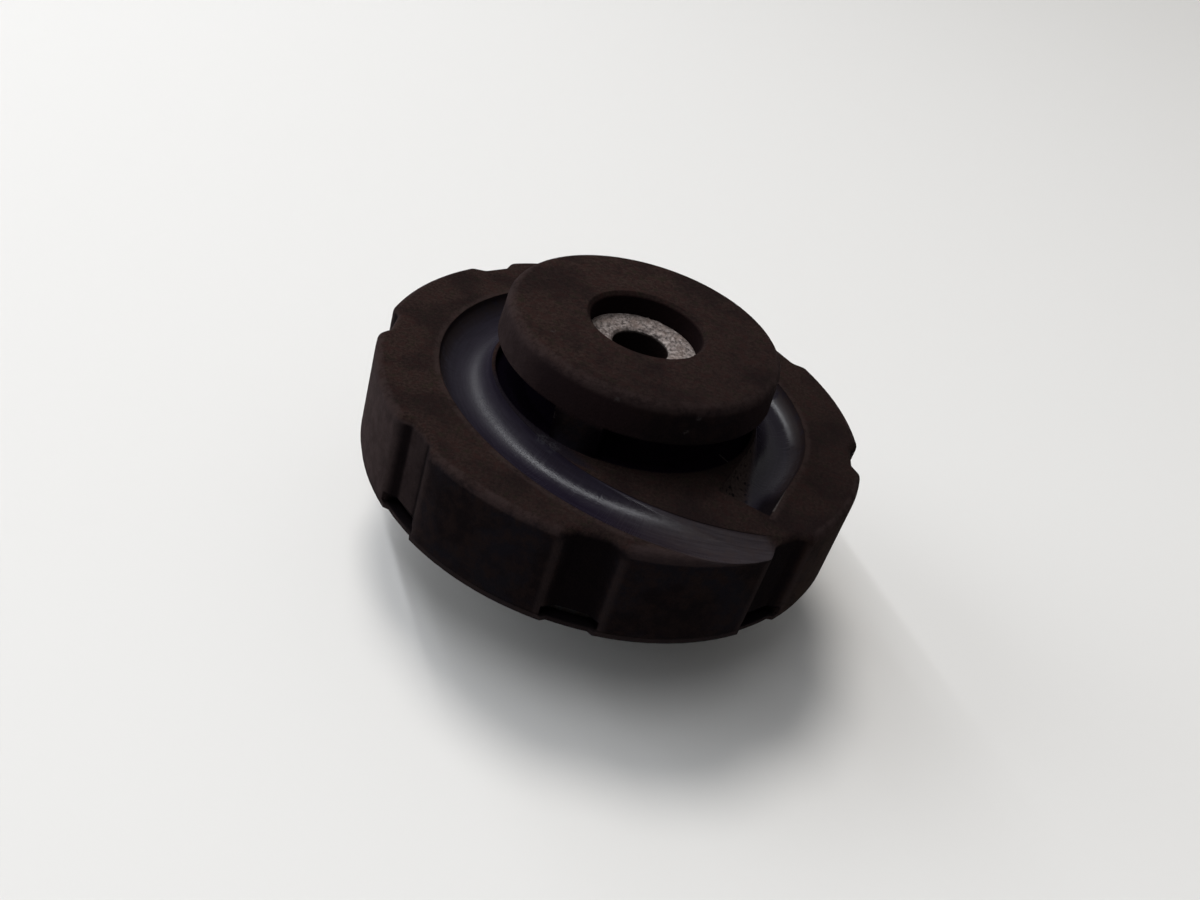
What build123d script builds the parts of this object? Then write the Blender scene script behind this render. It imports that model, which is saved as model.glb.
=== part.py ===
"""A coil spring insulator from the top of a suspension strut.

The rubber moulding is bonded to an aluminium bush in its middle and to a steel ring in
its foot. The boss with the bore points up, and the part stands on its centring hub.
All lengths are in millimetres and all angles in degrees. The origin is the centre of
the hub's flat end.
"""

import os
from math import cos, radians, sin

from build123d import *

# Heights
hub_height = 26.4
disc_height = 25.6
neck_height = 8.5
head_height = 10.3

# Disc with its notched rim
disc_radius = 61.0
rim_rounding = 2.0
notch_count = 8
notch_mouth = 14.0
notch_floor = 7.0
notch_depth = 2.4
lobe_corner_radius = 2.6
notch_corner_radius = 1.2

# Lip along the foot of the disc, set back under a parting line
lip_height = 1.5
lip_setback = 0.5
parting_width = 0.5
parting_depth = 1.0

# Boss: a narrow neck in a recess under a round head that narrows upward
neck_radius = 24.0
neck_root_chamfer = 1.0
recess_radius = 32.6
recess_depth = 3.0
head_foot_radius = 34.0
head_top_radius = 33.4
head_top_rounding = 2.4
head_foot_chamfer = 0.6
head_root_chamfer = 1.0
bore_radius = 13.8
bore_depth = 5.9
bore_chamfer = 1.0

# Webs that join the foot of the head to the disc across the neck's gap
web_count = 3
web_angle = -107.0
web_arc = 20.0
web_foot_radius = 33.0
web_overlap = 1.0

# Spiral seat for the end of the spring: a stop, a round stretch and a run out over the rim
wire_radius = 6.5
wire_lift = 1.5
seat_radius = 39.8
seat_start_angle = -18.2
seat_end_angle = 215.0
stop_run = 21.6
runout_radius = 65.0
runout_arc = 85.0
runout_tilt = 4.5

# Flat bed worn by the wire where the run out crosses the rim
bed_radius = 10.9
bed_depth = 2.0
bed_clearance = 0.5

# Centring hub underneath, with a recess for the nut of the piston rod
hub_root_radius = 31.0
hub_end_radius = 25.0
hub_root_chamfer = 2.0
hub_end_chamfer = 1.5
nut_recess_radius = 18.0
nut_recess_depth = 12.0
nut_recess_chamfer = 1.0

# Aluminium bush
core_radius = 15.0
core_flange_radius = 19.5
core_flange_height = 5.0
rod_hole_radius = 7.0
core_chamfer = 0.6

# Steel ring, with the rubber under it and around it
plate_inner_radius = 35.0
plate_thickness = 2.0
plate_cover = 1.2
plate_edge_cover = 4.5

# Pockets in the foot of the notches, where the mould held the edge of the ring
pocket_height = 3.0
pocket_width = 13.0
pocket_reach = 1.0
pocket_corner_radius = 1.0

# Lip that closes the pockets from below, set back from the rim
sill_setback = 1.4

# Levels above the flat end of the hub
disc_foot = hub_height
disc_top = disc_foot + disc_height
recess_floor = disc_top - recess_depth
head_foot = disc_top + neck_height
head_top = head_foot + head_height
core_foot = nut_recess_depth
core_flange_top = core_foot + core_flange_height
core_top = head_top - bore_depth
plate_foot = disc_foot + plate_cover
wire_level = disc_top + wire_lift

# Edge of the ring and the depth of the pockets that show it
plate_outer_radius = disc_radius - plate_edge_cover
pocket_depth = plate_edge_cover + pocket_reach

same_place = 0.01


def circles_at(part, radius, level):
    """The round edges that have a given radius and lie at a given level."""
    return [
        edge
        for edge in part.edges().filter_by(GeomType.CIRCLE)
        if abs(edge.radius - radius) < same_place and abs(edge.arc_center.Z - level) < same_place
    ]


def section_plane(angle):
    """An upright plane through the axis: x points outward at the angle and y points up."""
    outward = (cos(radians(angle)), sin(radians(angle)), 0)
    backward = (sin(radians(angle)), -cos(radians(angle)), 0)
    return Plane(origin=(0, 0, 0), x_dir=outward, z_dir=backward)


# Aluminium bush: a turned sleeve with a flange at its lower end
with BuildPart() as core_bush:
    with BuildSketch(Plane.XZ):
        with BuildLine():
            Polyline(
                (rod_hole_radius, core_foot),
                (core_flange_radius, core_foot),
                (core_flange_radius, core_flange_top),
                (core_radius, core_flange_top),
                (core_radius, core_top),
                (rod_hole_radius, core_top),
                close=True,
            )
        make_face()
    revolve(axis=Axis.Z)
    chamfer(circles_at(core_bush, rod_hole_radius, core_top), core_chamfer)
    chamfer(circles_at(core_bush, rod_hole_radius, core_foot), core_chamfer)

# Steel ring: a flat washer in the foot of the disc
with BuildPart() as support_plate:
    with BuildSketch(Plane.XY.offset(plate_foot)):
        Circle(plate_outer_radius)
        Circle(plate_inner_radius, mode=Mode.SUBTRACT)
    extrude(amount=plate_thickness)

# Rubber moulding
with BuildPart() as rubber_body:
    # Disc with rounded lobes between the notches
    with BuildSketch(Plane.XY.offset(disc_foot)) as rim_outline:
        Circle(disc_radius)
        with BuildSketch(mode=Mode.PRIVATE) as notch:
            with BuildLine():
                Polyline(
                    (disc_radius - notch_depth, -notch_floor / 2),
                    (disc_radius + notch_depth, -notch_mouth + notch_floor / 2),
                    (disc_radius + notch_depth, notch_mouth - notch_floor / 2),
                    (disc_radius - notch_depth, notch_floor / 2),
                    close=True,
                )
            make_face()
        with PolarLocations(0, notch_count):
            add(notch.sketch, mode=Mode.SUBTRACT)
        corners = rim_outline.vertices().group_by(lambda corner: corner.distance_to((0, 0, 0)))
        fillet(corners[-1], lobe_corner_radius)
        corners = rim_outline.vertices().group_by(lambda corner: corner.distance_to((0, 0, 0)))
        fillet(corners[0], notch_corner_radius)
    extrude(amount=disc_height)
    fillet(rubber_body.faces().sort_by(Axis.Z)[-1].edges(), rim_rounding)

    # Lip and parting line along the foot
    with BuildSketch(Plane.XY.offset(disc_foot)):
        Circle(disc_radius)
        Circle(disc_radius - lip_setback, mode=Mode.SUBTRACT)
    extrude(amount=lip_height, mode=Mode.SUBTRACT)
    with BuildSketch(Plane.XY.offset(disc_foot + lip_height)):
        Circle(disc_radius)
        Circle(disc_radius - parting_depth, mode=Mode.SUBTRACT)
    extrude(amount=parting_width, mode=Mode.SUBTRACT)

    # Pockets in the notches, with the lip that closes them from below
    with BuildSketch(Plane.XY.offset(plate_foot)):
        with PolarLocations(disc_radius, notch_count):
            RectangleRounded(2 * pocket_depth, pocket_width, pocket_corner_radius)
    extrude(amount=pocket_height, mode=Mode.SUBTRACT)
    with BuildSketch(Plane.XY.offset(disc_foot)):
        Circle(disc_radius - sill_setback)
    extrude(amount=plate_cover)

    # Recess around the neck
    with BuildSketch(Plane.XY.offset(recess_floor)):
        Circle(recess_radius)
    extrude(amount=recess_depth, mode=Mode.SUBTRACT)

    # Boss: neck and head
    with BuildSketch(Plane.XZ):
        with BuildLine():
            Polyline(
                (0, recess_floor),
                (neck_radius, recess_floor),
                (neck_radius, head_foot),
                (head_foot_radius - head_foot_chamfer, head_foot),
                (head_foot_radius, head_foot + head_foot_chamfer),
                (head_top_radius, head_top),
                (0, head_top),
                close=True,
            )
        make_face()
    revolve(axis=Axis.Z)
    chamfer(circles_at(rubber_body, neck_radius, recess_floor), neck_root_chamfer)
    chamfer(circles_at(rubber_body, neck_radius, head_foot), head_root_chamfer)
    fillet(circles_at(rubber_body, head_top_radius, head_top), head_top_rounding)

    # Webs, flush with the side of the head
    for web in range(web_count):
        web_start = web_angle - web_arc / 2 + web * 360 / web_count
        with BuildSketch(section_plane(web_start)):
            with BuildLine():
                Polyline(
                    (neck_radius - web_overlap, recess_floor),
                    (web_foot_radius, recess_floor),
                    (web_foot_radius, disc_top),
                    (head_foot_radius, head_foot + head_foot_chamfer),
                    (neck_radius - web_overlap, head_foot + head_foot_chamfer),
                    close=True,
                )
            make_face()
        revolve(axis=Axis.Z, revolution_arc=web_arc)

    # Centring hub
    with BuildSketch(Plane.XZ):
        with BuildLine():
            Polyline(
                (0, 0),
                (hub_end_radius, 0),
                (hub_root_radius, disc_foot),
                (0, disc_foot),
                close=True,
            )
        make_face()
    revolve(axis=Axis.Z)
    chamfer(circles_at(rubber_body, hub_root_radius, disc_foot), hub_root_chamfer)
    chamfer(circles_at(rubber_body, hub_end_radius, 0), hub_end_chamfer)

    # Way through the middle: nut recess, seat of the bush and bore
    with BuildSketch(Plane.XZ):
        with BuildLine():
            Polyline(
                (0, 0),
                (nut_recess_radius, 0),
                (nut_recess_radius, core_foot),
                (core_flange_radius, core_foot),
                (core_flange_radius, core_flange_top),
                (core_radius, core_flange_top),
                (core_radius, core_top),
                (bore_radius, core_top),
                (bore_radius, head_top),
                (0, head_top),
                close=True,
            )
        make_face()
    revolve(axis=Axis.Z, mode=Mode.SUBTRACT)
    chamfer(circles_at(rubber_body, bore_radius, head_top), bore_chamfer)
    chamfer(circles_at(rubber_body, nut_recess_radius, 0), nut_recess_chamfer)

    # Seat of the ring
    with BuildSketch(Plane.XY.offset(plate_foot)):
        Circle(plate_outer_radius)
        Circle(plate_inner_radius, mode=Mode.SUBTRACT)
    extrude(amount=plate_thickness, mode=Mode.SUBTRACT)

    # Spiral seat, round stretch
    with BuildSketch(section_plane(seat_start_angle)) as wire_start:
        with Locations((seat_radius, wire_level)):
            Circle(wire_radius)
    revolve(axis=Axis.Z, revolution_arc=seat_end_angle - seat_start_angle, mode=Mode.SUBTRACT)

    # Spiral seat, straight stretch that ends at the stop
    extrude(wire_start.sketch, amount=stop_run, mode=Mode.SUBTRACT)

    # Spiral seat, run out over the rim on a wider arc that rises a little
    runout_side = section_plane(seat_end_angle)
    with BuildSketch(runout_side):
        with Locations((seat_radius, wire_level)):
            Circle(wire_radius)
    tilt = radians(runout_tilt)
    runout_center = runout_side.from_local_coords(
        (seat_radius - runout_radius * cos(tilt), wire_level + runout_radius * sin(tilt), 0)
    )
    runout_direction = runout_side.x_dir * sin(tilt) + Vector(0, 0, cos(tilt))
    revolve(
        axis=Axis(runout_center, runout_direction),
        revolution_arc=runout_arc,
        mode=Mode.SUBTRACT,
    )

    # Worn bed of the run out, a shallow trough along the same arc
    with BuildSketch(runout_side):
        with Locations((seat_radius, disc_top - bed_depth + bed_radius)):
            Circle(bed_radius)
        with Locations((seat_radius, disc_top - bed_depth)):
            Rectangle(2 * bed_radius, 2 * (bed_depth + bed_clearance), mode=Mode.INTERSECT)
    bed_center = runout_side.from_local_coords((seat_radius - runout_radius, disc_top, 0))
    revolve(axis=Axis(bed_center, (0, 0, 1)), revolution_arc=runout_arc, mode=Mode.SUBTRACT)

rubber_body.part.label = "rubber_body"
core_bush.part.label = "core_bush"
support_plate.part.label = "support_plate"

os.makedirs("parts", exist_ok=True)
export_step(rubber_body.part, "parts/rubber_body.step")
export_step(core_bush.part, "parts/core_bush.step")
export_step(support_plate.part, "parts/support_plate.step")
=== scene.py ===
"""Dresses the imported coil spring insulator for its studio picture."""

from math import cos, pi, radians, sin

import bpy
from mathutils import Matrix, Vector, noise


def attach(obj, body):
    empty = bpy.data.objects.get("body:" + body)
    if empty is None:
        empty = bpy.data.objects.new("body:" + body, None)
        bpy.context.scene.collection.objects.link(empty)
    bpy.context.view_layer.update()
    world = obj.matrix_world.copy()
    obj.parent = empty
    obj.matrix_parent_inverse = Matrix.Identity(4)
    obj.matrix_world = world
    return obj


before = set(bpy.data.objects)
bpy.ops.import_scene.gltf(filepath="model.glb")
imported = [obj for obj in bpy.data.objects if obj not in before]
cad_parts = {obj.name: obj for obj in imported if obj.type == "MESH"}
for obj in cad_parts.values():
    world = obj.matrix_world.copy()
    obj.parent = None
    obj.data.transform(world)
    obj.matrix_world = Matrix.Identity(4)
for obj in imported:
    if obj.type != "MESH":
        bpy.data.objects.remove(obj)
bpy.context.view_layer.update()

MM = 0.001
quarter_turn = 90.0
eighth_turn = 45.0

# Levels of the part in millimetres, as its source has them
disc_foot = 26.4
pocket_floor = 27.6
lip_top = 27.9
pocket_top = 30.6
recess_floor = 49.0
disc_top = 52.0
head_foot = 60.5
core_top = 64.9
head_top = 70.8

# Sizes of the part in millimetres, as its source has them
disc_radius = 61.0
recess_radius = 32.6
web_angle = -107.0
head_radius = 33.4
bore_radius = 13.8
rod_hole_radius = 7.0
plate_edge_radius = 56.5

# Path of the spring's wire, as the source has it
wire_radius = 6.5
seat_radius = 39.8
seat_start_angle = -18.2
seat_end_angle = 215.0
groove_floor = 47.0
stop_run = 21.6
runout_radius = 65.0

# Camera: place, aim and roll fitted to the circles of the part in the photograph
camera_place = Vector((-16.56, -249.07, 202.57)) * MM
camera_aim = Vector((-3.10, -28.86, 52.0)) * MM
camera_roll = radians(18.41)
focal_pixels = 1189.6
frame_pixels = 1200
sensor_width = 36.0

# Tube lamp in metres: its ends and its width
tube_start = Vector((-1.10, 1.36, 0.80))
tube_end = Vector((-0.15, -0.80, 1.09))
tube_width = 0.036
tube_tint = (0.95, 0.97, 1.0)

# Share of a small mark's reach within which it is solid
solid_share = 0.4

# Places of the mix node's sockets for colours
first_colour, second_colour, mixed_colour = 6, 7, 2


def colour(red, green, blue):
    return (red, green, blue, 1.0)


# Black of the clean rubber
rubber_black = colour(0.0046, 0.0032, 0.0037)


class Nodes:
    """Short calls that add nodes to a shader's tree."""

    def __init__(self, tree):
        self.tree = tree

    def put(self, socket, value):
        """Links a socket to another one's output, or sets its value."""
        if isinstance(value, bpy.types.NodeSocket):
            self.tree.links.new(value, socket)
        else:
            socket.default_value = value

    def split(self, vector):
        node = self.tree.nodes.new("ShaderNodeSeparateXYZ")
        self.put(node.inputs[0], vector)
        return node.outputs

    def join(self, x, y, z):
        node = self.tree.nodes.new("ShaderNodeCombineXYZ")
        for socket, value in zip(node.inputs, (x, y, z)):
            self.put(socket, value)
        return node.outputs[0]

    def math(self, operation, a, b=0.0):
        node = self.tree.nodes.new("ShaderNodeMath")
        node.operation = operation
        self.put(node.inputs[0], a)
        self.put(node.inputs[1], b)
        return node.outputs[0]

    def less(self, a, b):
        return self.math("SUBTRACT", a, b)

    def more(self, a, b):
        return self.math("ADD", a, b)

    def times(self, a, b):
        return self.math("MULTIPLY", a, b)

    def size(self, a):
        return self.math("ABSOLUTE", a)

    def both(self, *masks):
        """The product of masks."""
        result = masks[0]
        for mask in masks[1:]:
            result = self.times(result, mask)
        return result

    def either(self, *masks):
        """The largest of masks."""
        result = masks[0]
        for mask in masks[1:]:
            result = self.math("MAXIMUM", result, mask)
        return result

    def nearer(self, a, b):
        """The smaller of two sizes."""
        return self.math("MINIMUM", self.size(a), self.size(b))

    def without(self, mask, share=1.0):
        """What a mask leaves where it takes a share away."""
        if share < 1.0:
            mask = self.times(mask, share)
        return self.less(1.0, mask)

    def choose(self, mask, no, yes):
        """Goes evenly from one value to another as a mask goes from 0 to 1."""
        return self.more(self.times(no, self.without(mask)), self.times(yes, mask))

    def ease(self, mask, no, yes):
        """Goes smoothly from one value to another as a mask goes from 0 to 1."""
        return self.step(mask, 0.0, 1.0, no, yes)

    def step(self, value, start, full, at_start=0.0, at_full=1.0):
        """A mask that goes smoothly from where it starts to where it is full."""
        node = self.tree.nodes.new("ShaderNodeMapRange")
        node.interpolation_type = "SMOOTHSTEP"
        names = ("Value", "From Min", "From Max", "To Min", "To Max")
        for name, number in zip(names, (value, start, full, at_start, at_full)):
            self.put(node.inputs[name], number)
        return node.outputs[0]

    def vector(self, operation, a, b):
        node = self.tree.nodes.new("ShaderNodeVectorMath")
        node.operation = operation
        self.put(node.inputs[0], a)
        self.put(node.inputs[1], b)
        return node.outputs["Value" if operation == "DOT_PRODUCT" else "Vector"]

    def length(self, x, y, z=0.0):
        """The length of a vector."""
        node = self.tree.nodes.new("ShaderNodeVectorMath")
        node.operation = "LENGTH"
        self.put(node.inputs[0], self.join(x, y, z))
        return node.outputs["Value"]


class Surface(Nodes):
    """One material whose points are in millimetres."""

    def __init__(self, name):
        self.material = bpy.data.materials.new(name)
        self.material.use_nodes = True
        super().__init__(self.material.node_tree)
        self.shader = self.tree.nodes["Principled BSDF"]
        coordinates = self.tree.nodes.new("ShaderNodeTexCoord")
        scaled = self.tree.nodes.new("ShaderNodeVectorMath")
        scaled.operation = "SCALE"
        scaled.inputs["Scale"].default_value = 1 / MM
        self.tree.links.new(coordinates.outputs["Object"], scaled.inputs[0])
        self.point = scaled.outputs[0]
        self.x, self.y, self.z = self.split(self.point)
        self.up = self.split(coordinates.outputs["Normal"])[2]
        geometry = self.tree.nodes.new("ShaderNodeNewGeometry")
        self.true_up = self.split(geometry.outputs["True Normal"])[2]

    def along(self, angle, x=None, y=None):
        """How far a point lies out from the axis in a compass direction."""
        across = self.times(self.x if x is None else x, cos(radians(angle)))
        return self.more(across, self.times(self.y if y is None else y, sin(radians(angle))))

    def spot(self, place, reach):
        """A round mark at a place, with soft edges, as far as its reach."""
        x, y, z = place
        gap = self.length(self.less(self.x, x), self.less(self.y, y), self.less(self.z, z))
        return self.step(gap, reach, reach * solid_share)

    def line(self, start, end, reach):
        """A thin mark from one place to another, with soft edges, as wide as twice its reach."""
        run = Vector(end) - Vector(start)
        offset = self.vector("SUBTRACT", self.point, start)
        share = self.math("DIVIDE", self.vector("DOT_PRODUCT", offset, tuple(run)), run.length_squared)
        share = self.nearer(self.math("MAXIMUM", share, 0.0), 1.0)
        nearest = self.join(*(self.times(share, part) for part in run))
        gap = self.length(*self.split(self.vector("SUBTRACT", offset, nearest)))
        return self.step(gap, reach, reach * solid_share)

    def noise(self, size, detail=4.0, rough=0.55, point=None, twist=0.0):
        """A cloudy pattern whose patches measure about a size in millimetres."""
        node = self.tree.nodes.new("ShaderNodeTexNoise")
        self.put(node.inputs["Vector"], point or self.point)
        values = {"Scale": 1 / size, "Detail": detail, "Roughness": rough, "Distortion": twist}
        for name, number in values.items():
            self.put(node.inputs[name], number)
        return node.outputs["Fac"]

    def mix(self, share, a, b):
        """Goes from colour a to colour b."""
        node = self.tree.nodes.new("ShaderNodeMix")
        node.data_type = "RGBA"
        self.put(node.inputs[0], share)
        self.put(node.inputs[first_colour], a)
        self.put(node.inputs[second_colour], b)
        return node.outputs[mixed_colour]

    def over(self, base, mask, layer, share=1.0):
        """Lays a share of a colour over another one where a mask is."""
        if share < 1.0:
            mask = self.times(mask, share)
        return self.mix(mask, base, layer)

    def bump(self, height, depth, under=None):
        """Dents a surface by a height pattern with a depth in millimetres."""
        node = self.tree.nodes.new("ShaderNodeBump")
        self.put(node.inputs["Distance"], depth * MM)
        self.put(node.inputs["Height"], height)
        if under:
            self.put(node.inputs["Normal"], under)
        return node.outputs[0]

    def worn_edges(self, reach, samples):
        """The surface's direction with its sharp edges rounded over a reach in millimetres."""
        node = self.tree.nodes.new("ShaderNodeBevel")
        node.samples = samples
        self.put(node.inputs["Radius"], reach * MM)
        return node.outputs[0]

    def finish(self, **values):
        """Sets or links the shader's sockets by name."""
        for name, value in values.items():
            self.put(self.shader.inputs[name.replace("_", " ")], value)
        return self.material


class Groove:
    """Where the spring's wire has lain, as masks and coordinates of a surface.

    Each pair is where a mask starts and where it is full, in millimetres but for facing_up."""

    below_top = (disc_top - 0.02, disc_top - 0.15)
    over_floor = (groove_floor - 0.9, groove_floor - 0.5)
    within_wire = (wire_radius + 0.02, wire_radius - 0.25)
    before_end = (stop_run, stop_run - 0.1)
    before_notch = (-2.0, -6.5)
    from_outer_edge = (wire_radius + 0.1, wire_radius - 2.6)
    facing_up = (0.1, 0.35)
    run_of_fade = (-14.0, 14.0)
    beside_stop = (wire_radius + 2.5, wire_radius + 2.4)
    around_end = (stop_run + 1.0, stop_run + 0.9)

    def __init__(self, s):
        past_round = s.both(
            s.math("GREATER_THAN", s.along(seat_end_angle + quarter_turn), 0.0),
            s.math("GREATER_THAN", s.along(seat_start_angle - quarter_turn), 0.0),
        )
        at_level = s.both(s.step(s.z, *self.below_top), s.step(s.z, *self.over_floor))

        # Round stretch
        round_side = s.less(s.length(s.x, s.y), seat_radius)
        in_round = s.both(self.band(s, round_side), s.without(past_round))

        # Straight stretch towards the stop
        self.stop_way = s.along(seat_start_angle - quarter_turn)
        self.stop_side = s.less(s.along(seat_start_angle), seat_radius)
        in_stop = s.both(self.band(s, self.stop_side), past_round, s.step(self.stop_way, *self.before_end))

        # Run out over the rim, round a middle of its own
        shift = seat_radius - runout_radius
        x = s.less(s.x, shift * cos(radians(seat_end_angle)))
        y = s.less(s.y, shift * sin(radians(seat_end_angle)))
        runout_side = s.less(s.length(x, y), runout_radius)
        self.swept = self.turn(s, seat_end_angle + eighth_turn, runout_radius, x, y)
        self.fade = s.step(self.swept, *self.run_of_fade)
        soft_edge = s.either(s.step(runout_side, *self.from_outer_edge), s.without(self.fade))
        in_runout = s.both(
            self.band(s, runout_side),
            past_round,
            s.step(s.true_up, *self.facing_up),
            s.step(s.along(eighth_turn), *self.before_notch),
            soft_edge,
        )

        self.kept = s.both(s.either(in_round, in_stop), at_level)
        self.worn = s.both(in_runout, at_level)
        self.all = s.either(self.kept, self.worn)

        # Length along the wire and side of it, for scratches that run with it or across it
        turned = self.turn(s, (seat_start_angle + seat_end_angle) / 2, seat_radius)
        near_stop = s.step(s.size(self.stop_side), *self.beside_stop)
        at_stop = s.both(past_round, near_stop, s.step(self.stop_way, *self.around_end))
        self.way = s.choose(at_stop, s.choose(past_round, turned, self.swept), self.stop_way)
        self.side = s.choose(at_stop, s.choose(past_round, round_side, runout_side), self.stop_side)

    def band(self, s, side):
        """Where a surface lies within the wire's width."""
        return s.step(s.size(side), *self.within_wire)

    def turn(self, s, middle, radius, x=None, y=None):
        """The length along a round stretch, counted from a compass direction."""
        angle = s.math("ARCTAN2", s.along(middle + quarter_turn, x, y), s.along(middle, x, y))
        return s.times(angle, radius)


class Rubber(Surface):
    """Black rubber: rusty dust where it faces up, polished bluish where the spring lay.

    Each pair is where a mask starts and where it is full. Two values more are how strong it is
    there. Lengths are in millimetres, and levels of the patterns lie between 0 and 1."""

    # Pairs for the places that more than one layer uses
    past_head_top = (head_radius - 1.5, head_radius - 0.8)
    past_rim = (disc_radius - 4.0, disc_radius - 3.6)
    over_disc_foot = (disc_foot, disc_foot + 1.0)
    in_notch = (6.4, 4.6)
    upright = (0.6, 0.2)
    on_stop_half = (20.0, 30.0)

    def __init__(self):
        super().__init__("rubber")
        self.radius = self.length(self.x, self.y)
        self.groove = Groove(self)

        # Patterns from large to small
        self.cloud = self.noise(size=13.0, detail=5.0)
        self.patches = self.noise(size=3.2, detail=6.0, rough=0.65)
        self.speckle = self.noise(size=0.8, detail=5.0, rough=0.7)
        self.grit = self.noise(size=0.45, detail=2.0, rough=0.6)
        self.scratches = self.lines(along_wire=2.2, across_wire=0.16, detail=3.0, rough=0.6)
        self.streaks = self.lines(along_wire=0.09, across_wire=1.6, detail=3.0, rough=0.6)

        # How far a point lies from the middle of the nearest notch
        straight = self.nearer(self.along(0.0), self.along(quarter_turn))
        slanted = self.nearer(self.along(eighth_turn), self.along(quarter_turn + eighth_turn))
        self.across = self.math("MINIMUM", straight, slanted)

        # Places that more than one layer uses
        self.head_band = self.step(self.radius, *self.past_head_top)
        self.rim_band = self.both(
            self.step(self.radius, *self.past_rim),
            self.step(self.z, *self.over_disc_foot),
        )
        self.notch = self.both(
            self.rim_band,
            self.step(self.across, *self.in_notch),
            self.step(self.up, *self.upright),
        )
        self.stop_half = self.step(self.along(seat_start_angle), *self.on_stop_half)
        self.edge_dust = self.find_edge_dust()
        self.gap = self.find_gap()
        self.web_sides = self.find_web_sides()
        self.dull = self.find_dull()
        self.shade = self.find_shade()
        self.polish = self.both(
            self.groove.all,
            self.without(self.dull, share=0.9),
            self.without(self.shade, share=0.8),
        )
        self.near_edge = self.find_near_edge()

    def facing(self, angle):
        """The cosine between a compass direction and the way out from the axis."""
        return self.math("DIVIDE", self.along(angle), self.radius)

    def lines(self, along_wire, across_wire, detail, rough):
        """A pattern of lines, by its patches per millimetre along the wire and across it."""
        way = self.times(self.groove.way, along_wire)
        side = self.times(self.groove.side, across_wire)
        return self.noise(size=1.0, detail=detail, rough=rough, point=self.join(way, side, 0.0))

    def find_edge_dust(self):
        """Patches of dust along the outer edge of the seat."""
        outward = (2.6, 6.0)
        in_patches = (0.28, 0.55)
        return self.both(self.step(self.groove.side, *outward), self.step(self.patches, *in_patches))

    def find_gap(self):
        """The gap around the neck, between the recess and the head."""
        inside_recess = (recess_radius + 0.5, recess_radius - 0.6)
        below_head = (head_foot + 0.2, head_foot - 0.1)
        over_recess = (recess_floor - 1.0, recess_floor - 0.5)
        return self.both(
            self.step(self.radius, *inside_recess),
            self.step(self.z, *below_head),
            self.step(self.z, *over_recess),
        )

    def find_web_sides(self):
        """Both sides of the nearest web."""
        right_side = (0.6, 4.8)
        left_side = (-3.2, -5.6, 0.0, 0.9)
        inside_head = (head_radius + 1.2, head_radius + 1.0)
        outward = (20.0, 24.0)
        below_head = (head_foot + 0.3, head_foot - 1.0)
        over_disc = (disc_top - 0.1, disc_top + 0.3)
        beside_web = self.along(web_angle + quarter_turn)
        return self.both(
            self.either(self.step(beside_web, *right_side), self.step(beside_web, *left_side)),
            self.step(self.radius, *inside_head),
            self.step(self.along(web_angle), *outward),
            self.step(self.z, *below_head),
            self.step(self.z, *over_disc),
        )

    def find_dull(self):
        """The inner half of the stop, up to a line that runs aslant across the seat."""
        line_slant, line_crossing, line_side = 0.27, 3.8, -3.3
        inside_line = (1.8, -1.4)
        from_seat = (-14.0, -2.0)
        slanted = self.times(self.less(self.groove.stop_way, line_crossing), line_slant)
        past_line = self.less(self.less(self.groove.stop_side, slanted), line_side)
        return self.both(
            self.step(past_line, *inside_line),
            self.step(self.groove.stop_way, *from_seat),
            self.stop_half,
            self.groove.kept,
        )

    def find_shade(self):
        """The outer half of the stop, in the shade of its wall."""
        outward = (1.0, 3.4)
        towards_end = (4.0, 13.0)
        return self.both(
            self.step(self.groove.stop_side, *outward),
            self.step(self.groove.stop_way, *towards_end),
            self.groove.kept,
            self.stop_half,
        )

    def find_near_edge(self):
        """The polish along both edges of the seat."""
        towards_edge = (wire_radius - 1.0, wire_radius - 0.35)
        return self.both(self.polish, self.step(self.size(self.groove.side), *towards_edge))

    def sides(self):
        """Near black with faint bluish and brown patches."""
        bluish = colour(0.0058, 0.0050, 0.0066)
        brown = colour(0.0098, 0.0060, 0.0056)
        bluish_clouds = (0.44, 0.6)
        brown_patches = (0.40, 0.66)
        base = self.over(rubber_black, self.step(self.cloud, *bluish_clouds), bluish)
        return self.over(base, self.step(self.patches, *brown_patches), brown, share=0.8)

    def head_side_painted_light(self, base):
        """Painted light: the side of the head painted browner where it faces the light, least where it faces
        away into the shade.
        """
        brown = colour(0.0105, 0.0062, 0.0068)
        shade_angle = -62.0
        over_head_foot = (head_foot - 0.5, head_foot + 0.5)
        towards_shade = (0.86, 0.98, 1.0, 0.2)
        side = self.both(
            self.step(self.z, *over_head_foot),
            self.head_band,
            self.step(self.facing(shade_angle), *towards_shade),
        )
        return self.over(base, side, brown, share=0.8)

    def right_side(self, base):
        """Rusty patches on the right of the rim, which are also painted light: they lighten the side that
        faces the right.
        """
        # rusty tone, also painted light on the side that faces the right
        rusty = colour(0.0175, 0.0105, 0.0085)
        middle_angle = -15.0
        towards_right = (0.80, 0.97)
        past_head = (head_radius + 1.0, head_radius + 2.0)
        in_patches = (0.3, 0.55, 0.35, 0.9)
        right = self.both(
            self.step(self.facing(middle_angle), *towards_right),
            self.step(self.radius, *past_head),
            self.step(self.patches, *in_patches),
        )
        return self.over(base, right, rusty)

    def notches(self, base):
        """Painted shade in the notches: darker than the clean rubber."""
        recess_shade = colour(0.0024, 0.0015, 0.0019)
        return self.over(base, self.notch, recess_shade, share=0.85)

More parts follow.
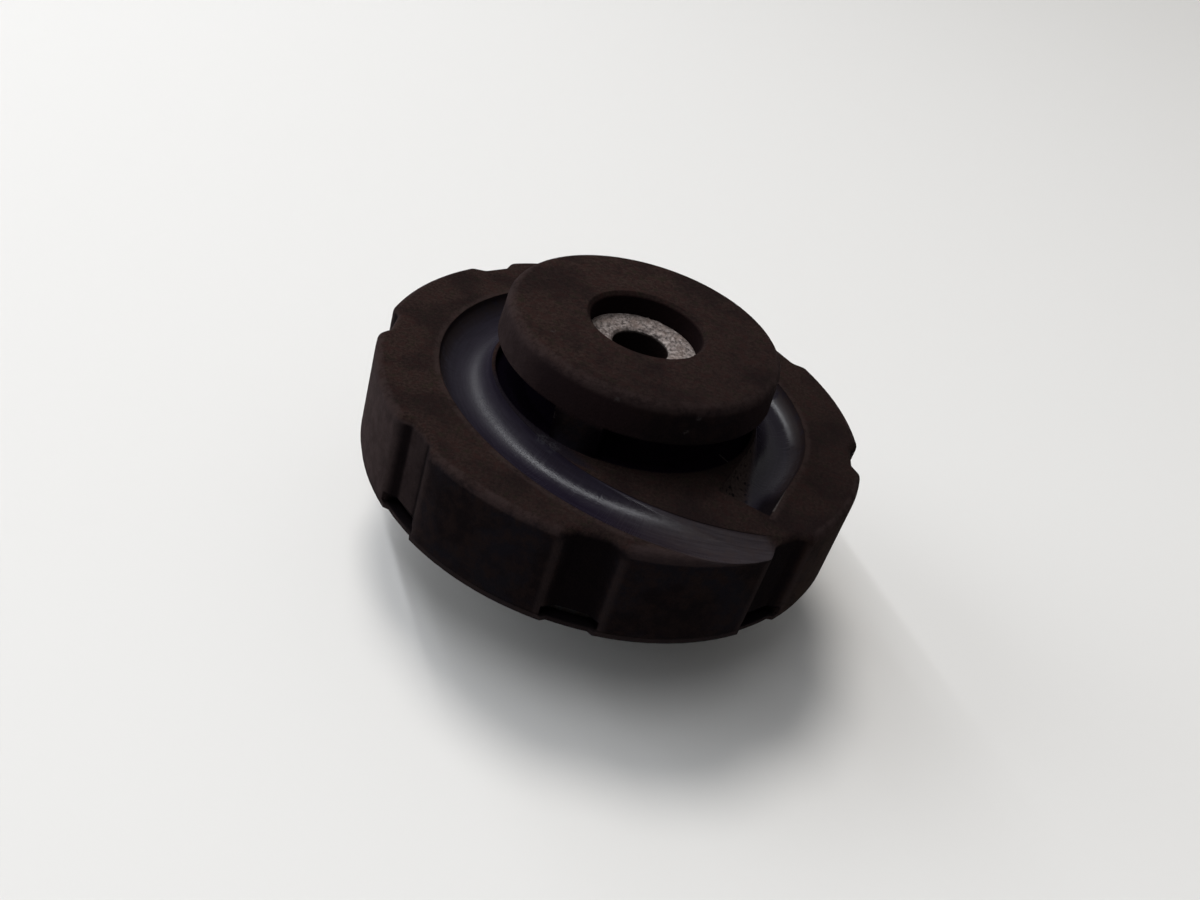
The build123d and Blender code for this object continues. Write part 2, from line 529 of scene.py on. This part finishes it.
    def left_side(self, base):
        """Dust on the sides that face the left, which also lightens them as painted light from the left; less
        of it on the head and in the notches' corners.
        """
        thin_dust_and_light = colour(0.024, 0.0165, 0.0165)
        thick_dust_and_light = colour(0.038, 0.027, 0.027)
        middle_angle = 185.0
        towards_left = (0.58, 0.94)
        below_head = (head_foot, head_foot - 2.0, 0.55, 0.9)
        towards_corner = (2.4, 3.6)
        thick_patches = (0.3, 0.7)
        inner_corner = self.both(self.notch, self.step(self.across, *towards_corner))
        left = self.both(
            self.step(self.facing(middle_angle), *towards_left),
            self.step(self.z, *below_head),
            self.without(inner_corner, share=0.9),
            self.head_band,
        )
        dust = self.mix(self.step(self.patches, *thick_patches), thin_dust_and_light, thick_dust_and_light)
        return self.over(base, left, dust)

    def tops(self, base):
        """Rusty dust in patches where the rubber faces up; it is thicker and lighter towards the back and the
        left, which is painted light from that side.
        """
        dark_dust = colour(0.0120, 0.0070, 0.0062)
        light_dust = colour(0.0265, 0.0165, 0.0142)
        reddish = colour(0.0205, 0.0100, 0.0088)
        greenish = colour(0.0150, 0.0118, 0.0080)
        light_speckles = (0.34, 0.66)
        reddish_mottles = (0.5, 0.62)
        greenish_mottles = (0.45, 0.34)
        light_angle = 140.0
        towards_light = (-50.0, 30.0, 0.55, 1.0)
        thick_clouds = (0.34, 0.62, 0.5, 1.15)
        facing_up = (0.25, 0.9)
        mottle = self.noise(size=1.7, detail=5.0, rough=0.65)
        dusty = self.mix(self.step(self.speckle, *light_speckles), dark_dust, light_dust)
        dusty = self.over(dusty, self.step(mottle, *reddish_mottles), reddish, share=0.85)
        dusty = self.over(dusty, self.step(mottle, *greenish_mottles), greenish, share=0.8)
        # thicker and lighter towards the back and the left: painted light
        thick_and_lit = self.both(
            self.step(self.along(light_angle), *towards_light),
            self.step(self.cloud, *thick_clouds),
        )
        top = self.over(rubber_black, thick_and_lit, dusty)
        return self.over(base, self.step(self.up, *facing_up), top)

    def pockets(self, base):
        """Painted shade in the pockets under the notches."""
        recess_shade = colour(0.0026, 0.0019, 0.0028)
        below_pocket_top = (pocket_top + 0.3, pocket_top + 0.1)
        over_pocket_floor = (pocket_floor - 0.2, pocket_floor - 0.1)
        in_pocket = (6.8, 6.2)
        past_plate = (plate_edge_radius - 1.0, plate_edge_radius - 0.5)
        pocket = self.both(
            self.step(self.z, *below_pocket_top),
            self.step(self.z, *over_pocket_floor),
            self.step(self.across, *in_pocket),
            self.step(self.radius, *past_plate),
        )
        return self.over(base, pocket, recess_shade, share=0.9)

    def rounded_edges(self, base):
        """Paler dust in patches on the rounded edges of the head and the rim, also a painted highlight where
        the roundings catch the light.
        """
        pale_dust_and_highlight = colour(0.026, 0.0175, 0.0170)
        head_edge_radius = (head_radius - 2.4, head_radius - 0.9)
        head_edge_level = (head_top - 3.0, head_top - 1.6)
        rim_edge_radius = (disc_radius - 2.2, disc_radius - 1.2)
        rim_edge_level = (disc_top - 2.2, disc_top - 1.4)
        past_notch = (5.8, 8.6)
        in_patches = (0.35, 0.6, 0.2, 0.7)
        head_edge = self.both(self.step(self.radius, *head_edge_radius), self.step(self.z, *head_edge_level))
        rim_edge = self.both(
            self.step(self.radius, *rim_edge_radius),
            self.step(self.z, *rim_edge_level),
            self.step(self.across, *past_notch),
        )
        edges = self.both(self.either(head_edge, rim_edge), self.step(self.patches, *in_patches))
        return self.over(base, edges, pale_dust_and_highlight)

    def rim_edge_highlight(self, base):
        """The front of the rim's edge, paler between the notches: a painted highlight on its rounding."""
        rim_highlight_grey = colour(0.0225, 0.0155, 0.0160)
        front_angle = -68.0
        edge_radius = (disc_radius - 3.0, disc_radius - 1.8)
        edge_level = (disc_top - 2.4, disc_top - 1.8)
        towards_front = (54.0, 57.0)
        past_notch = (6.2, 9.0)
        paler_part = self.both(
            self.step(self.radius, *edge_radius),
            self.step(self.z, *edge_level),
            self.step(self.along(front_angle), *towards_front),
            self.step(self.across, *past_notch),
        )
        return self.over(base, paler_part, rim_highlight_grey, share=0.7)

    def notch_corners(self, base):
        """Paler outer corners of the notches: a painted highlight where the corners catch the light."""
        corner_highlight = colour(0.022, 0.0155, 0.0155)
        from_notch = (5.6, 6.6)
        before_side = (8.6, 7.2)
        corner_radius = (disc_radius - 1.6, disc_radius - 0.7)
        below_edge = (disc_top - 1.5, disc_top - 4.0)
        corner = self.both(
            self.rim_band,
            self.step(self.across, *from_notch),
            self.step(self.across, *before_side),
            self.step(self.radius, *corner_radius),
            self.step(self.z, *below_edge),
        )
        return self.over(base, corner, corner_highlight, share=0.45)

    def highlight_beside_seat(self, base):
        """A painted highlight: a paler line in patches beside the outer edge of the seat."""
        highlight_grey = colour(0.028, 0.0190, 0.0180)
        from_seat = (wire_radius - 0.3, wire_radius)
        before_rim = (wire_radius + 1.8, wire_radius + 0.6)
        on_top = (disc_top - 0.8, disc_top - 0.2)
        in_patches = (0.3, 0.55)
        beside = self.both(
            self.step(self.groove.side, *from_seat),
            self.step(self.groove.side, *before_rim),
            self.step(self.z, *on_top),
            self.step(self.patches, *in_patches),
        )
        return self.over(base, beside, highlight_grey, share=0.5)

    def lip(self, base):
        """The lip under the parting line, paler than the side above it."""
        lip_grey = colour(0.024, 0.018, 0.018)
        below_line = (lip_top, lip_top - 0.2)
        lip_edge = (disc_radius - 2.0, disc_radius - 1.0)
        lip = self.both(self.step(self.z, *below_line), self.step(self.radius, *lip_edge))
        return self.over(base, lip, lip_grey, share=0.5)

    def strip_beside_gap(self, base):
        """A bluish strip between the seat and the gap, up the foot of the nearest web: painted shade under
        the head.
        """
        bluish = colour(0.0086, 0.0072, 0.0112)
        strip_angle = -134.0
        inside_seat = (recess_radius + 5.5, recess_radius + 4.0)
        outward = (27.5, 31.0)
        outside_neck = (recess_radius - 4.0, recess_radius - 3.0)
        up_web = (disc_top + 5.0, disc_top)
        strip = self.both(
            self.step(self.radius, *inside_seat),
            self.step(self.along(strip_angle), *outward),
            self.step(self.radius, *outside_neck),
            self.step(self.z, *up_web),
        )
        return self.over(base, strip, bluish, share=0.85)

    def deep_shade(self, base):
        """Deep shade in the gap, a little lighter at the front, and over the sides of the nearest web."""
        back_shade = colour(0.0030, 0.0018, 0.0044)
        front_shade = colour(0.0090, 0.0046, 0.0100)
        web_shade = colour(0.0026, 0.0016, 0.0026)
        front_angle = -60.0
        towards_front = (5.0, 25.0)
        tone = self.mix(self.step(self.along(front_angle), *towards_front), back_shade, front_shade)
        return self.over(self.over(base, self.gap, tone), self.web_sides, web_shade)

    def bore(self, base):
        """Shade down the bore of the head."""
        bore_shade = colour(0.0066, 0.0032, 0.0034)
        inside_bore = (bore_radius + 0.4, bore_radius + 0.1)
        return self.over(base, self.step(self.radius, *inside_bore), bore_shade, share=0.8)

    def polished(self):
        """The polished seat: bluish streaks, dusty along its outer edge, with a dull pitted stop."""
        dark_streak = colour(0.0076, 0.0056, 0.0108)
        light_streak = colour(0.0108, 0.0086, 0.0150)
        edge_tone = colour(0.0140, 0.0090, 0.0096)
        dark_dust = colour(0.0225, 0.0155, 0.0142)
        light_dust = colour(0.0390, 0.0280, 0.0255)
        pit_tone = colour(0.0030, 0.0020, 0.0024)
        wall_shade = colour(0.0026, 0.0018, 0.0024)
        light_streaks = (0.35, 0.65)
        light_speckles = (0.35, 0.65)
        deep_pits = (0.56, 0.62)
        tone = self.mix(self.step(self.streaks, *light_streaks), dark_streak, light_streak)
        tone = self.over(tone, self.edge_dust, edge_tone)
        pits = self.step(self.noise(size=1.5, detail=3.0, rough=0.6), *deep_pits)
        dust = self.mix(self.step(self.speckle, *light_speckles), dark_dust, light_dust)
        tone = self.over(tone, self.dull, self.over(dust, pits, pit_tone))
        return self.over(tone, self.shade, wall_shade, share=0.85)

    def lilac(self):
        """The worn run out: pale lilac grey with long soft scratches under a veil of dust."""
        dark_streak = colour(0.0115, 0.0082, 0.0102)
        light_streak = colour(0.0205, 0.0162, 0.0190)
        scratch_tone = colour(0.030, 0.0245, 0.0270)
        veil_tone = colour(0.0185, 0.0128, 0.0135)
        light_streaks = (0.3, 0.7)
        fine_scratches = (0.54, 0.66, 0.0, 0.6)
        veil_patches = (0.45, 0.62)
        veil_share = 0.7
        fine = self.lines(along_wire=0.16, across_wire=3.2, detail=4.0, rough=0.65)
        tone = self.mix(self.step(self.streaks, *light_streaks), dark_streak, light_streak)
        tone = self.over(tone, self.step(fine, *fine_scratches), scratch_tone)
        veil = self.either(self.edge_dust, self.times(self.step(self.patches, *veil_patches), veil_share))
        return self.over(tone, veil, veil_tone)

    def wire_seat(self, base):
        """The polished seat of the wire, which turns lilac grey along its run out over the rim."""
        polished = self.polished()
        base = self.over(base, self.groove.kept, polished)
        return self.over(base, self.groove.worn, self.over(polished, self.groove.fade, self.lilac()))

    def chips(self, base):
        """Small chips and specks on the head."""
        chip_grey = colour(0.034, 0.029, 0.029)
        in_speckles = (0.42, 0.54)
        chips = self.either(
            self.spot((-15.5, -29.9, 58.4), reach=1.2),
            self.spot((15.1, -30.1, 68.0), reach=0.9),
            self.spot((13.3, -30.9, 64.4), reach=0.9),
            self.spot((-3.3, -33.5, 68.8), reach=0.9),
            self.spot((-20.7, -16.4, head_top), reach=0.7),
        )
        return self.over(base, self.both(chips, self.step(self.speckle, *in_speckles)), chip_grey, share=0.6)

    def scuff(self, base):
        """A scuff beside the seat."""
        scuff_grey = colour(0.036, 0.035, 0.040)
        in_speckles = (0.44, 0.56)
        spots = self.either(
            self.spot((-16.3, -31.0, disc_top), reach=2.2),
            self.spot((-13.4, -32.6, disc_top), reach=2.2),
        )
        return self.over(base, self.both(spots, self.step(self.speckle, *in_speckles)), scuff_grey, share=0.5)

    def bright_lines(self, base):
        """The worn edge beside the stop, which is also a painted highlight, and a painted glint on an edge in
        the gap.
        """
        bright = colour(0.070, 0.062, 0.060)
        in_speckles = (0.36, 0.5)
        edge_level = disc_top - 0.2
        worn_lit_edge = self.line((40.7, -22.6, edge_level), (37.8, -32.4, edge_level), reach=0.55)
        worn_lit_edge = self.both(worn_lit_edge, self.step(self.speckle, *in_speckles))
        # painted glint on an edge in the gap
        glint_in_gap = self.line((25.5, -12.1, recess_floor), (28.9, -15.5, recess_floor), reach=0.35)
        return self.over(base, self.either(worn_lit_edge, glint_in_gap), bright, share=0.8)

    def roughness(self):
        """Rough dust and smooth polish, which is less smooth where it is scratched, worn or dusty."""
        dusty, smooth = 0.9, 0.19
        scratched = (0.4, 0.7, 0.0, 0.10)
        run_of_wear = (-14.0, 34.0, 0.0, 0.38)
        left_angle = 175.0
        towards_left = (4.0, 32.0)
        towards_stop = (0.0, 14.0)
        dust_rise, left_rise, stop_rise, edge_rise = 0.3, 0.26, 0.16, 0.4
        near_stop = self.both(self.step(self.groove.stop_way, *towards_stop), self.stop_half)
        rises = (
            self.both(self.polish, self.step(self.scratches, *scratched)),
            self.times(self.groove.worn, self.step(self.groove.swept, *run_of_wear)),
            self.both(self.polish, self.edge_dust, dust_rise),
            self.both(self.polish, self.step(self.along(left_angle), *towards_left), left_rise),
            self.both(self.polish, near_stop, self.without(self.groove.worn), stop_rise),
            self.times(self.near_edge, edge_rise),
        )
        rough = self.ease(self.polish, dusty, smooth)
        for rise in rises:
            rough = self.more(rough, rise)
        return rough

    def shine(self):
        """The specular level, higher in the polish and lowest in deep shade."""
        dusty, polished = 0.01, 0.06
        return self.both(
            self.ease(self.polish, dusty, polished),
            self.without(self.near_edge, share=0.7),
            self.without(self.either(self.gap, self.web_sides), share=0.9),
        )

    def relief(self):
        """Worn edges, grit and dusty lumps outside the polish, and scratches in it."""
        scratched_clouds = (0.35, 0.6, 0.2, 1.0)
        unpolished = self.without(self.polish)
        cuts = self.both(self.scratches, self.polish, self.step(self.cloud, *scratched_clouds))
        surface = self.worn_edges(reach=0.5, samples=4)
        surface = self.bump(self.grit, depth=0.03, under=surface)
        surface = self.bump(self.times(self.speckle, unpolished), depth=0.16, under=surface)
        surface = self.bump(self.times(self.patches, unpolished), depth=0.22, under=surface)
        return self.bump(cuts, depth=0.028, under=surface)


def rubber_material():
    """The rubber with its layers of colour, each laid over the ones before it."""
    s = Rubber()
    layers = (
        s.head_side_painted_light,
        s.right_side,
        s.notches,
        s.left_side,
        s.tops,
        s.pockets,
        s.rounded_edges,
        s.rim_edge_highlight,
        s.notch_corners,
        s.highlight_beside_seat,
        s.lip,
        s.strip_beside_gap,
        s.deep_shade,
        s.bore,
        s.wire_seat,
        s.chips,
        s.scuff,
        s.bright_lines,
    )
    base = s.sides()
    for layer in layers:
        base = layer(base)
    return s.finish(Base_Color=base, Roughness=s.roughness(), Specular_IOR_Level=s.shine(), Normal=s.relief())


def aluminium_material():
    """Corroded aluminium: pinkish grey with pits, flakes and stains, with painted shade down the hole."""
    s = Surface("aluminium")
    pit_tone = colour(0.038, 0.029, 0.027)
    bare_tone = colour(0.25, 0.215, 0.20)
    flake_tone = colour(0.135, 0.108, 0.098)
    stain_tone = colour(0.12, 0.088, 0.075)
    hole_shade = colour(0.007, 0.0040, 0.0038)
    bare_parts = (0.40, 0.62)
    flaked_parts = (0.46, 0.60, 0.0, 0.65)
    stained_parts = (0.45, 0.7, 0.0, 0.6)
    down_hole = (core_top - 0.2, core_top - 1.4)
    inside_hole = (rod_hole_radius + 1.0, rod_hole_radius + 0.6)
    open_metal, hole_metal = 0.35, 0.0
    open_shine, hole_shine = 0.2, 0.01

    pits = s.noise(size=1.0, detail=6.0, rough=0.75, twist=0.6)
    flakes = s.noise(size=2.1, detail=3.0, rough=0.7, twist=1.2)
    stain = s.noise(size=3.6)
    base = s.mix(s.step(pits, *bare_parts), pit_tone, bare_tone)
    base = s.over(base, s.step(flakes, *flaked_parts), flake_tone)
    base = s.over(base, s.step(stain, *stained_parts), stain_tone)
    hole = s.both(s.step(s.z, *down_hole), s.step(s.length(s.x, s.y), *inside_hole))
    base = s.over(base, hole, hole_shade)
    return s.finish(
        Base_Color=base,
        Roughness=0.62,
        Metallic=s.ease(hole, open_metal, hole_metal),
        Specular_IOR_Level=s.ease(hole, open_shine, hole_shine),
        Normal=s.bump(pits, depth=0.45),
    )


def steel_material():
    """Dull steel with brown rust, bright on its edge where the mould's pin has worn it bare, which is also a
    painted glint.
    """
    s = Surface("steel")
    dark_steel = colour(0.012, 0.011, 0.012)
    rust_brown = colour(0.0080, 0.0044, 0.0034)
    glinting_steel = colour(0.20, 0.20, 0.20)
    rusty_parts = (0.36, 0.56)
    rust = s.step(s.noise(size=2.0, detail=6.0), *rusty_parts)
    # bright spots on the edge: worn bare metal and a painted glint
    paler_part = s.either(
        s.spot((1.9, -plate_edge_radius, 29.6), reach=0.8),
        s.spot((3.9, -plate_edge_radius, 29.4), reach=0.6),
    )
    base = s.over(s.mix(rust, dark_steel, rust_brown), paler_part, glinting_steel)
    return s.finish(Base_Color=base, Metallic=0.5, Roughness=0.5, Normal=s.bump(s.noise(size=0.8), depth=0.1))


def dress(node, material):
    """Gives a node of the frame its material."""
    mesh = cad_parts[node].data
    mesh.materials.clear()
    mesh.materials.append(material)


def crust_point(spoke_share, ring, rings):
    """A point of the crust, by its share of a turn and its ring."""
    inner, outer = rod_hole_radius + 0.1, bore_radius - 0.05
    ragged, middle = 0.9, 0.5
    wobble_scale, wobble_noise = 5.0, (0.6, 2.0, 4)
    lump_scale, lump_noise = 0.9, (0.5, 2.1, 5)
    lowest, highest = -0.5, 0.6
    rise, mean_share, lump_height = 0.35, 0.6, 0.32
    inner_slope, outer_slope = 3, 2

    a = 2 * pi * spoke_share
    wobble = noise.fractal(Vector((cos(a), sin(a), 0.0)) * wobble_scale, *wobble_noise)
    start = inner + ragged * min(1.0, max(0.0, middle + wobble))
    r = start + (outer - start) * ring / rings
    place = Vector((r * cos(a), r * sin(a), 0.0))
    lumps = noise.fractal(place * lump_scale, *lump_noise)
    edge = min(1.0, ring / inner_slope, (rings - ring) / outer_slope)
    z = core_top + rise * edge * (mean_share + max(lowest, min(highest, lumps)) * lump_height / rise)
    return (place.x * MM, place.y * MM, z * MM)


def add_crust(material):
    """The rough crust of corrosion on the end of the bush, with a ragged edge around the hole."""
    spokes, rings = 288, 26
    across = rings + 1
    points, faces = [], []
    for spoke in range(spokes):
        for ring in range(across):
            points.append(crust_point(spoke / spokes, ring, rings))
    for spoke in range(spokes):
        here, there = spoke * across, (spoke + 1) % spokes * across
        for ring in range(rings):
            faces.append((here + ring, here + ring + 1, there + ring + 1, there + ring))
    mesh = bpy.data.meshes.new("bush_crust")
    mesh.from_pydata(points, [], faces)
    mesh.materials.append(material)
    for face in mesh.polygons:
        face.use_smooth = True
    crust = bpy.data.objects.new("bush_crust", mesh)
    bpy.context.scene.collection.objects.link(crust)
    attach(crust, "root")


def level_frame(toward):
    """The camera's right, up and back axes for a direction, before its roll."""
    right = toward.cross(Vector((0, 0, 1))).normalized()
    return right, right.cross(toward), -toward


def add_camera():
    data = bpy.data.cameras.new("camera")
    data.sensor_width = sensor_width
    data.lens = focal_pixels / frame_pixels * sensor_width
    data.clip_start = 0.01
    data.clip_end = 100
    camera = bpy.data.objects.new("camera", data)
    bpy.context.scene.collection.objects.link(camera)
    right, up, back = level_frame((camera_aim - camera_place).normalized())
    turned_right = right * cos(camera_roll) + up * sin(camera_roll)
    turned_up = up * cos(camera_roll) - right * sin(camera_roll)
    axes = Matrix((turned_right, turned_up, back)).transposed()
    camera.matrix_world = Matrix.Translation(camera_place) @ axes.to_4x4()
    bpy.context.scene.camera = camera


def add_sun(name, azimuth, elevation, strength, angle, tint):
    """A soft lamp that shines from a compass direction."""
    data = bpy.data.lights.new(name, "SUN")
    data.energy = strength
    data.angle = radians(angle)
    data.color = tint
    lamp = bpy.data.objects.new(name, data)
    lamp.visible_glossy = False
    bpy.context.scene.collection.objects.link(lamp)
    a, e = radians(azimuth), radians(elevation)
    toward_lamp = Vector((cos(a) * cos(e), sin(a) * cos(e), sin(e)))
    lamp.rotation_euler = toward_lamp.to_track_quat("Z", "Y").to_euler()


def add_tube(name, power, glossy):
    """The long narrow lamp, turned towards the part, that only glossy or only diffuse rays see."""
    data = bpy.data.lights.new(name, "AREA")
    data.shape = "RECTANGLE"
    data.energy = power
    data.color = tube_tint
    data.size = (tube_end - tube_start).length
    data.size_y = tube_width
    lamp = bpy.data.objects.new(name, data)
    lamp.visible_glossy = glossy
    lamp.visible_diffuse = not glossy
    bpy.context.scene.collection.objects.link(lamp)
    middle = (tube_start + tube_end) / 2
    long_side = (tube_end - tube_start).normalized()
    back = middle.normalized()
    back = (back - long_side * back.dot(long_side)).normalized()
    axes = Matrix((long_side, back.cross(long_side), back)).transposed()
    lamp.matrix_world = Matrix.Translation(middle) @ axes.to_4x4()


def add_floor():
    floor_size = 60.0
    floor_colour = colour(0.70, 0.695, 0.685)
    bpy.ops.mesh.primitive_grid_add(size=floor_size, x_subdivisions=2, y_subdivisions=2)
    floor = bpy.context.object
    floor.name = "floor"
    s = Surface("floor")
    floor.data.materials.append(s.finish(Base_Color=floor_colour, Roughness=0.8, Specular_IOR_Level=0.2))


def add_world():
    """Soft light that is strongest from above, behind and the left, and a plain pale background."""
    world = bpy.data.worlds.new("studio")
    bpy.context.scene.world = world
    world.use_nodes = True
    tree = world.node_tree
    tree.nodes.clear()
    s = Nodes(tree)

    # Strength by direction: a share from everywhere, from above, from behind and from the left
    everywhere, above, behind, leftward = 0.04, 0.20, 0.16, 0.14
    coordinates = tree.nodes.new("ShaderNodeTexCoord")
    x, y, z = s.split(coordinates.outputs["Generated"])
    strength = s.more(s.times(s.either(z, 0.0), above), everywhere)
    strength = s.more(strength, s.times(s.either(y, 0.0), behind))
    strength = s.more(strength, s.times(s.either(s.times(x, -1.0), 0.0), leftward))

    # The camera, reflections and glass see the pale background
    pale = colour(0.655, 0.65, 0.64)
    path = tree.nodes.new("ShaderNodeLightPath")
    mirrored = s.either(path.outputs["Is Glossy Ray"], path.outputs["Is Transmission Ray"])
    sees_backdrop = s.either(path.outputs["Is Camera Ray"], mirrored)
    light = tree.nodes.new("ShaderNodeBackground")
    light.inputs["Color"].default_value = colour(1.0, 1.0, 1.0)
    tree.links.new(strength, light.inputs["Strength"])
    backdrop = tree.nodes.new("ShaderNodeBackground")
    backdrop.inputs["Color"].default_value = pale
    mix = tree.nodes.new("ShaderNodeMixShader")
    out = tree.nodes.new("ShaderNodeOutputWorld")
    tree.links.new(sees_backdrop, mix.inputs[0])
    tree.links.new(light.outputs[0], mix.inputs[1])
    tree.links.new(backdrop.outputs[0], mix.inputs[2])
    tree.links.new(mix.outputs[0], out.inputs["Surface"])


aluminium = aluminium_material()
dress("rubber_body", rubber_material())
dress("core_bush", aluminium)
dress("support_plate", steel_material())
add_crust(aluminium)
add_camera()
add_floor()
add_world()
add_sun("ceiling_light", azimuth=130.0, elevation=66.0, strength=1.55, angle=20.0, tint=(1.0, 0.97, 0.93))
add_sun("window_light", azimuth=178.0, elevation=22.0, strength=1.15, angle=40.0, tint=(0.93, 0.97, 1.0))
add_tube("tube_light", power=8.6, glossy=False)
add_tube("tube_gloss", power=56.0, glossy=True)

bpy.context.scene.view_settings.view_transform = "Standard"
